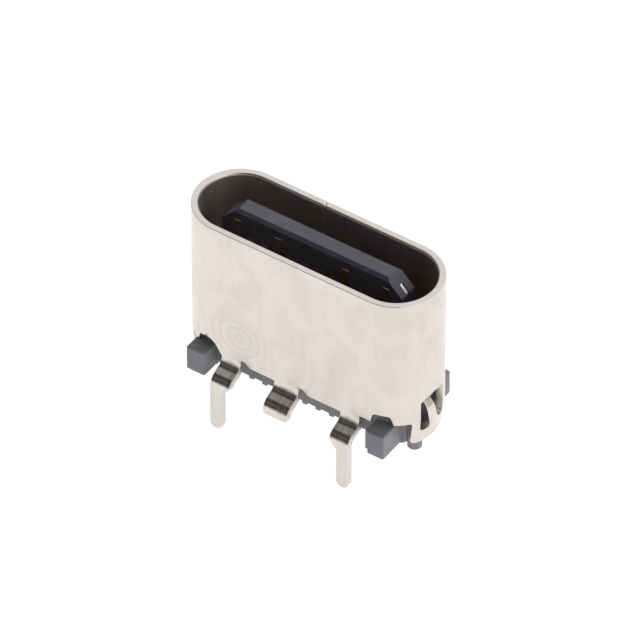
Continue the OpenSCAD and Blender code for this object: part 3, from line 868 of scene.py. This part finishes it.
def moulded_effect():
    """Moulded plastic: fine sparked grain, slightly paler rubbed patches. Sizes are in millimetres."""
    tree, enter, leave = effect("moulded_grain", [
        ("Place", VECTOR, None), ("Colour", COLOUR, (0.05, 0.05, 0.05, 1)), ("Rubbed colour", COLOUR, (0.1, 0.1, 0.1, 1)),
        ("Rubbed", NUMBER, 0.4), ("Roughness", NUMBER, 0.5), ("Grain", NUMBER, 1.0),
    ], [("Colour", COLOUR), ("Roughness", NUMBER), ("Height", NUMBER)])
    place = enter.outputs["Place"]
    patch = ramp(tree, noise(tree, place, 1.6, 4, 0.6, 0.5), 0.4, 0.7)
    grain = noise(tree, place, 26.0, 3, 0.6)
    speck = ramp(tree, grain, 0.55, 0.75)
    mask = maths(tree, "MULTIPLY", maths(tree, "MULTIPLY_ADD", speck, 0.5, patch), enter.outputs["Rubbed"], clamp=True)
    wire(tree, blend_colour(tree, mask, enter.outputs["Colour"], enter.outputs["Rubbed colour"]), leave.inputs["Colour"])
    wire(tree, maths(tree, "MULTIPLY_ADD", grain, 0.12, enter.outputs["Roughness"]), leave.inputs["Roughness"])
    wire(tree, maths(tree, "MULTIPLY", grain, enter.outputs["Grain"]), leave.inputs["Height"])
    return tree


EFFECTS = {"plated": plated_effect(), "moulded": moulded_effect()}


def finish_from(name, kind, values, metallic, bump):
    """A material whose colour, roughness and relief come from a shared effect, with its own values."""
    material = bpy.data.materials.new(name)
    material.use_nodes = True
    tree = material.node_tree
    shader = tree.nodes["Principled BSDF"]
    shader.inputs["Metallic"].default_value = metallic
    where = node(tree, "ShaderNodeTexCoord", (-1100, 0))
    in_mm = node(tree, "ShaderNodeMapping", (-900, 0))
    in_mm.inputs["Scale"].default_value = (1 / MM,) * 3
    tree.links.new(where.outputs["Object"], in_mm.inputs["Vector"])
    group = node(tree, "ShaderNodeGroup", (-600, 0), node_tree=EFFECTS[kind])
    tree.links.new(in_mm.outputs[0], group.inputs["Place"])
    for label, value in values.items():
        group.inputs[label].default_value = value
    relief = node(tree, "ShaderNodeBump", (-250, -300))
    relief.inputs["Strength"].default_value = bump[0]
    relief.inputs["Distance"].default_value = bump[1] * MM
    tree.links.new(group.outputs["Height"], relief.inputs["Height"])
    tree.links.new(group.outputs["Colour"], shader.inputs["Base Color"])
    tree.links.new(group.outputs["Roughness"], shader.inputs["Roughness"])
    tree.links.new(relief.outputs[0], shader.inputs["Normal"])
    return material, tree, group, shader, in_mm.outputs[0]


# centre, radii and tilt of soft-edged marks on the plating, in millimetres
OVAL_SMUDGE = ((-4.28, -0.62, 1.95), (0.5, 0.22, 0.42), 0)
WIPED = ((-1.9, -1.53, 1.9), (1.5, 0.5, 0.95), 0)


def round_mask(tree, place, mark):
    """One inside an ellipsoid, fading to nothing at its edge."""
    centre, radii, _ = mark
    away = node(tree, "ShaderNodeVectorMath", operation="SUBTRACT")
    wire(tree, place, away.inputs[0])
    away.inputs[1].default_value = centre
    scaled = node(tree, "ShaderNodeVectorMath", operation="DIVIDE")
    tree.links.new(away.outputs[0], scaled.inputs[0])
    scaled.inputs[1].default_value = radii
    length = node(tree, "ShaderNodeVectorMath", operation="LENGTH")
    tree.links.new(scaled.outputs[0], length.inputs[0])
    return ramp(tree, length.outputs["Value"], 1.0, 0.6)


def make_nickel():
    material, tree, group, shader, place = finish_from("warm_nickel", "plated", {
        "Colour": (0.80, 0.745, 0.685, 1), "Smudge colour": (0.70, 0.655, 0.575, 1),
        "Smudge": 0.55, "Streak": 0.3, "Roughness": 0.16, "Spread": 0.1}, 1.0, (0.15, 0.004))
    cut = node(tree, "ShaderNodeAttribute", (-900, -400), attribute_name="cut_edge")
    inner = node(tree, "ShaderNodeAttribute", (-900, -600), attribute_name="inner_face")
    colour = blend_colour(tree, maths(tree, "MULTIPLY", cut.outputs["Fac"], 0.6), group.outputs["Colour"],
                          (0.80, 0.775, 0.755, 1))
    # the inner face is painted darker and browner: painted shade inside the mouth
    colour = blend_colour(tree, ramp(tree, inner.outputs["Fac"], 0.85, 1.0), colour, (0.58, 0.51, 0.49, 1))
    # painted dark reflection streaks run down the bends, and an oval smudge and arcs of a wiping cloth lie on the wall
    bent = node(tree, "ShaderNodeAttribute", (-900, -800), attribute_name="bent")
    bend_band = ramp(tree, noise(tree, stretched(tree, place, (1, 0.12, 0.12)), 7.0, 5, 0.7), 0.35, 0.68)
    bend_band = maths(tree, "MULTIPLY", bend_band, ramp(tree, bent.outputs["Fac"], 0.2, 0.6))
    # darker brown streaks on the bends: painted dark reflection
    colour = blend_colour(tree, maths(tree, "MULTIPLY", bend_band, 0.55), colour, (0.36, 0.31, 0.25, 1))
    oval = round_mask(tree, place, OVAL_SMUDGE)
    colour = blend_colour(tree, maths(tree, "MULTIPLY", oval, 0.75), colour, (0.655, 0.625, 0.575, 1))
    rings = node(tree, "ShaderNodeTexWave", wave_type="RINGS", rings_direction="SPHERICAL")
    rings.inputs["Scale"].default_value = 1.1
    rings.inputs["Distortion"].default_value = 5.0
    rings.inputs["Detail"].default_value = 2.0
    rings.inputs["Detail Scale"].default_value = 0.7
    shifted = node(tree, "ShaderNodeVectorMath", operation="SUBTRACT")
    wire(tree, place, shifted.inputs[0])
    shifted.inputs[1].default_value = WIPED[0]
    tree.links.new(shifted.outputs[0], rings.inputs["Vector"])
    wiped = maths(tree, "MULTIPLY", ramp(tree, rings.outputs["Fac"], 0.45, 0.9), round_mask(tree, place, WIPED))
    colour = blend_colour(tree, maths(tree, "MULTIPLY", wiped, 0.5), colour, (0.66, 0.62, 0.54, 1))
    tree.links.new(colour, shader.inputs["Base Color"])
    rough = maths(tree, "MULTIPLY_ADD", cut.outputs["Fac"], 0.1, group.outputs["Roughness"])
    rough = maths(tree, "MULTIPLY_ADD", ramp(tree, bent.outputs["Fac"], 0.2, 0.6), 0.08, rough)
    rough = maths(tree, "MULTIPLY_ADD", ramp(tree, inner.outputs["Fac"], 0.85, 1.0), 0.35, rough)
    tree.links.new(rough, shader.inputs["Roughness"])
    return material


def make_housing_plastic():
    # the same black plastic as the tongue, given a lighter grey here: painted light, the lit copy for the feet and
    # skirt
    material, tree, group, shader, place = finish_from("housing_plastic", "moulded", {
        "Colour": (0.235, 0.225, 0.25, 1), "Rubbed colour": (0.33, 0.32, 0.345, 1), "Rubbed": 0.5,
        "Roughness": 0.45, "Grain": 1.0}, 0.0, (0.35, 0.01))
    return material


def make_tongue_plastic():
    # the same black plastic as the housing, given a much darker colour here: painted shade, the shaded copy for the
    # tongue deep in the mouth
    material, tree, group, shader, place = finish_from("tongue_plastic", "moulded", {
        "Colour": (0.068, 0.06, 0.08, 1), "Rubbed colour": (0.11, 0.105, 0.14, 1), "Rubbed": 0.5,
        "Roughness": 0.3, "Grain": 0.8}, 0.0, (0.3, 0.006))
    shader.inputs["Specular IOR Level"].default_value = 1.0
    shader.inputs["Specular Tint"].default_value = (0.93, 0.91, 1.0, 1)
    return material


def make_plate_steel():
    return finish_from("plate_steel", "plated", {
        "Colour": (0.72, 0.72, 0.73, 1), "Smudge colour": (0.6, 0.58, 0.55, 1), "Smudge": 0.3, "Streak": 0.5,
        "Roughness": 0.25, "Spread": 0.1}, 1.0, (0.1, 0.003))[0]


def make_contact_gold():
    """Gold on the blades, dull grey tin on the tails by the board."""
    material, tree, group, shader, place = finish_from("contact_gold", "plated", {
        "Colour": (0.78, 0.66, 0.46, 1), "Smudge colour": (0.66, 0.54, 0.36, 1), "Smudge": 0.3, "Streak": 0.2,
        "Roughness": 0.1, "Spread": 0.08}, 1.0, (0.1, 0.003))
    level = node(tree, "ShaderNodeSeparateXYZ", (-900, -400))
    tree.links.new(place, level.inputs[0])
    tail = ramp(tree, level.outputs["Z"], 0.3, 0.2)
    tree.links.new(blend_colour(tree, tail, group.outputs["Colour"], (0.27, 0.265, 0.27, 1)), shader.inputs["Base Color"])
    tree.links.new(maths(tree, "MULTIPLY_ADD", tail, 0.35, group.outputs["Roughness"]), shader.inputs["Roughness"])
    tree.links.new(maths(tree, "SUBTRACT", 1.0, tail), shader.inputs["Metallic"])
    return material


def dressed(piece, material, slot_name, *nodes):
    piece.data.materials.clear()
    piece.data.materials.append(material)
    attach(piece, "root")
    if nodes:
        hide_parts(*nodes)


nickel, housing_plastic, tongue_plastic = make_nickel(), make_housing_plastic(), make_tongue_plastic()
plate_steel, contact_gold = make_plate_steel(), make_contact_gold()
contact_names = [f"contact_{row}{i + 1:02d}" for row in "ab" for i in range(CONTACT_COUNT)]

dressed(make_shell(), nickel, "shell_nickel", "shell")
dressed(make_housing(), housing_plastic, "base_plastic", "housing")
dressed(make_ribs(housing_plastic), housing_plastic, "base_plastic")
dressed(make_tongue(), tongue_plastic, "tongue_plastic", "tongue")
dressed(make_mid_plate(), plate_steel, "plate_steel", "mid_plate")
dressed(make_ground_plates(), plate_steel, "plate_steel", "ground_plate_front", "ground_plate_rear")
dressed(make_contacts(contact_gold), contact_gold, "contact_gold", *contact_names)

# ---------------------------------------------------------------- camera, light and floor

AZIMUTH, ELEVATION = math.radians(34.4346), math.radians(42.8457)
CAMERA_DISTANCE = 290.42
FOCAL_LENGTH = 534.25
AIM_RIGHT, AIM_UP = 0.0593, -2.53


def make_camera():
    right = Vector((math.cos(AZIMUTH), math.sin(AZIMUTH), 0))
    back = Vector((math.sin(AZIMUTH) * math.cos(ELEVATION), -math.cos(AZIMUTH) * math.cos(ELEVATION),
                   math.sin(ELEVATION)))
    up = back.cross(right)
    data = bpy.data.cameras.new("camera")
    data.lens, data.sensor_width = FOCAL_LENGTH, 36
    data.clip_start, data.clip_end = 0.01, 100
    camera = bpy.data.objects.new("camera", data)
    bpy.context.scene.collection.objects.link(camera)
    turn = Matrix((right, up, back)).transposed()
    place = Vector((0, 0, RIM_Z)) + right * AIM_RIGHT + up * AIM_UP + back * CAMERA_DISTANCE
    camera.matrix_world = Matrix.Translation(place * MM) @ turn.to_4x4()
    bpy.context.scene.camera = camera


make_camera()

scene = bpy.context.scene
scene.view_settings.view_transform = "Standard"


def make_studio():
    """White all round below the horizon and behind, dim in front above it but for one soft band."""
    world = bpy.data.worlds.new("studio")
    bpy.context.scene.world = world
    world.use_nodes = True
    tree = world.node_tree
    tree.nodes.clear()
    out, background = node(tree, "ShaderNodeOutputWorld"), node(tree, "ShaderNodeBackground")
    tree.links.new(background.outputs[0], out.inputs[0])
    where = node(tree, "ShaderNodeTexCoord")
    parts = node(tree, "ShaderNodeSeparateXYZ")
    tree.links.new(where.outputs["Generated"], parts.inputs[0])
    height = parts.outputs["Z"]
    forward = node(tree, "ShaderNodeVectorMath", operation="DOT_PRODUCT")
    tree.links.new(where.outputs["Generated"], forward.inputs[0])
    forward.inputs[1].default_value = FRONT
    dim = ramp(tree, height, -0.02, 0.24, 1.0, DIM)
    band = maths(tree, "MULTIPLY", ramp(tree, height, BAND[0], BAND[0] + 0.08), ramp(tree, height, BAND[1], BAND[1] - 0.08))
    in_front = maths(tree, "MULTIPLY_ADD", band, BAND[2], dim)
    amount = ramp(tree, forward.outputs["Value"], -0.06, 0.38)
    behind = ramp(tree, height, 0.3, 0.62, 0.7, 1.08)
    sideways = node(tree, "ShaderNodeVectorMath", operation="DOT_PRODUCT")
    tree.links.new(where.outputs["Generated"], sideways.inputs[0])
    sideways.inputs[1].default_value = SIDE_LIGHT
    side = ramp(tree, sideways.outputs["Value"], 0.6, 0.95, 0.0, 0.8)
    light = node(tree, "ShaderNodeMix", data_type="FLOAT")
    for label, value in (("Factor", amount), ("A", behind), ("B", in_front)):
        wire(tree, value, light.inputs[label])
    path = node(tree, "ShaderNodeLightPath")
    mix = node(tree, "ShaderNodeMix", data_type="FLOAT")
    lit = maths(tree, "ADD", light.outputs["Result"], side)
    for label, value in (("Factor", path.outputs["Is Camera Ray"]), ("A", lit), ("B", 1.0)):
        wire(tree, value, mix.inputs[label])
    tree.links.new(mix.outputs["Result"], background.inputs["Strength"])


FRONT = (-0.35, -0.93, 0)
DIM, BAND = 0.04, (0.52, 0.72, 0.2)
SIDE_LIGHT = (0.95, -0.3, 0.0)
make_studio()

# floor
FLOOR_GLOW = 0.735
floor_mesh = bpy.data.meshes.new("floor")
size = 3.0
floor_mesh.from_pydata([(-size, -size, PIN_TIP_Z * MM), (size, -size, PIN_TIP_Z * MM), (size, size, PIN_TIP_Z * MM),
                        (-size, size, PIN_TIP_Z * MM)], [], [(0, 1, 2, 3)])
floor = link("floor", floor_mesh)
fm = bpy.data.materials.new("pale_floor")
fm.use_nodes = True
ft = fm.node_tree
ft.nodes.clear()
out = node(ft, "ShaderNodeOutputMaterial")
add = node(ft, "ShaderNodeAddShader")
diffuse = node(ft, "ShaderNodeBsdfDiffuse")
diffuse.inputs[0].default_value = (0.5, 0.5, 0.5, 1)
glow = node(ft, "ShaderNodeEmission")
lp = node(ft, "ShaderNodeLightPath")
ft.links.new(maths(ft, "MULTIPLY_ADD", lp.outputs["Is Camera Ray"], 0.92 - FLOOR_GLOW, FLOOR_GLOW),
             glow.inputs["Strength"])
ft.links.new(diffuse.outputs[0], add.inputs[0])
ft.links.new(glow.outputs[0], add.inputs[1])
ft.links.new(add.outputs[0], out.inputs[0])
floor.data.materials.append(fm)
